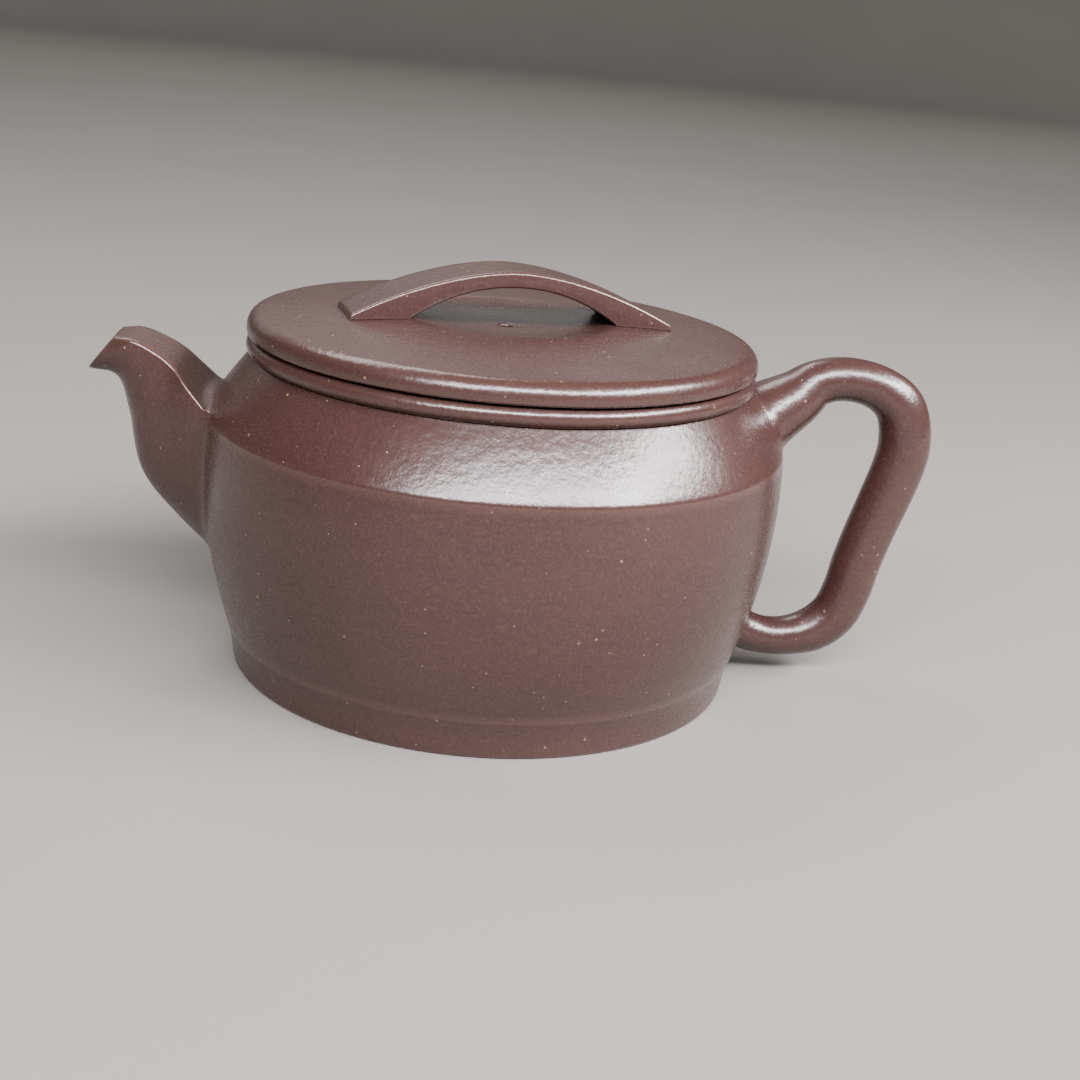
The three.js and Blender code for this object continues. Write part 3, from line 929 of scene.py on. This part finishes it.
def camera():
    back = Vector((
        math.sin(CAMERA_AZIMUTH) * math.cos(CAMERA_HEIGHT_ANGLE),
        -math.cos(CAMERA_AZIMUTH) * math.cos(CAMERA_HEIGHT_ANGLE),
        math.sin(CAMERA_HEIGHT_ANGLE)))
    forward = -back
    right = forward.cross(Vector((0, 0, 1))).normalized()
    up = right.cross(forward)
    pan = Matrix.Rotation(CAMERA_PAN, 3, up)
    forward, right = pan @ forward, pan @ right
    tilt = Matrix.Rotation(CAMERA_TILT, 3, right)
    forward, up = tilt @ forward, tilt @ up
    roll = Matrix.Rotation(CAMERA_ROLL, 3, forward)
    right, up = roll @ right, roll @ up
    lens = bpy.data.cameras.new("camera")
    lens.sensor_width = 36
    lens.lens = CAMERA_LENS
    lens.clip_start = 0.01
    made = bpy.data.objects.new("camera", lens)
    turned_to = Matrix((right, up, -forward)).transposed().to_4x4()
    made.matrix_world = Matrix.Translation(back * CAMERA_DISTANCE) @ turned_to
    bpy.context.scene.collection.objects.link(made)
    bpy.context.scene.camera = made


def softbox(name, azimuth, height_angle, distance, size, power, colour, target=(0, 0, 0.04)):
    """A soft light facing its target, which is the pot unless given, placed by its direction
    from it."""
    azimuth, height_angle = math.radians(azimuth), math.radians(height_angle)
    target = Vector(target)
    away = Vector((
        math.sin(azimuth) * math.cos(height_angle), -math.cos(azimuth) * math.cos(height_angle),
        math.sin(height_angle)))
    light = bpy.data.lights.new(name, "AREA")
    light.shape = "RECTANGLE"
    light.size, light.size_y = size
    light.energy = power
    light.color = colour
    made = bpy.data.objects.new(name, light)
    made.location = target + away * distance
    made.rotation_euler = away.to_track_quat("Z", "Y").to_euler()
    bpy.context.scene.collection.objects.link(made)


FLOOR_RADIUS = 2.6
FLOOR_RISE = 0.9


def studio():
    """A pale floor that turns up into a round wall, and soft lights."""
    outline = [
        *steps(0, FLOOR_RADIUS, 12, lambda r: (r, 0)),
        *arc(FLOOR_RADIUS, FLOOR_RISE, FLOOR_RISE, -90, 0, 16)[1:],
    ]
    points, faces = turned(outline, looped=False, segments=96)
    mesh = bpy.data.meshes.new("floor")
    mesh.from_pydata(points, [], faces)
    form = bmesh.new()
    form.from_mesh(mesh)
    bmesh.ops.remove_doubles(form, verts=form.verts, dist=MM)
    bmesh.ops.recalc_face_normals(form, faces=form.faces)
    bmesh.ops.reverse_faces(form, faces=form.faces)
    form.to_mesh(mesh)
    form.free()
    mesh.shade_smooth()
    mesh.materials.append(floor_finish())
    floor = bpy.data.objects.new("floor", mesh)
    bpy.context.scene.collection.objects.link(floor)

    world = bpy.data.worlds.new("studio")
    world.use_nodes = True
    sky = world.node_tree.nodes["Background"]
    sky.inputs["Color"].default_value = (0.90, 0.92, 0.97, 1)
    sky.inputs["Strength"].default_value = 0.06
    bpy.context.scene.world = world

    softbox("key", 13, 44, 0.9, (1.45, 0.19), 47, (1.0, 0.97, 1.0))
    softbox("side", 76, 38, 0.9, (0.6, 0.22), 19, (1.0, 0.96, 0.97))
    softbox("back", 195, 24, 1.3, (1.5, 0.45), 1.2, (1.0, 0.98, 0.95))
    softbox("rear", 215, 55, 1.0, (0.8, 0.3), 6, (1.0, 0.97, 0.94))
    for degrees in (0, 90, 180, 270):
        turn = math.radians(degrees)
        wall = (FLOOR_RADIUS * math.sin(turn), FLOOR_RADIUS * math.cos(turn), FLOOR_RISE / 2)
        softbox("backdrop", -degrees, 30, 1.6, (3.0, 0.5), 30, (1.0, 0.98, 0.96), target=wall)


# ---------------------------------------------------------------- the teapot

camera()
studio()
base_disc()
foot_band()
body_wall()
shoulder_disc()
mouth_ring()
spout()
spout_strainer()
handle()
lid_collar()
lid_plate()
lid_bridge()
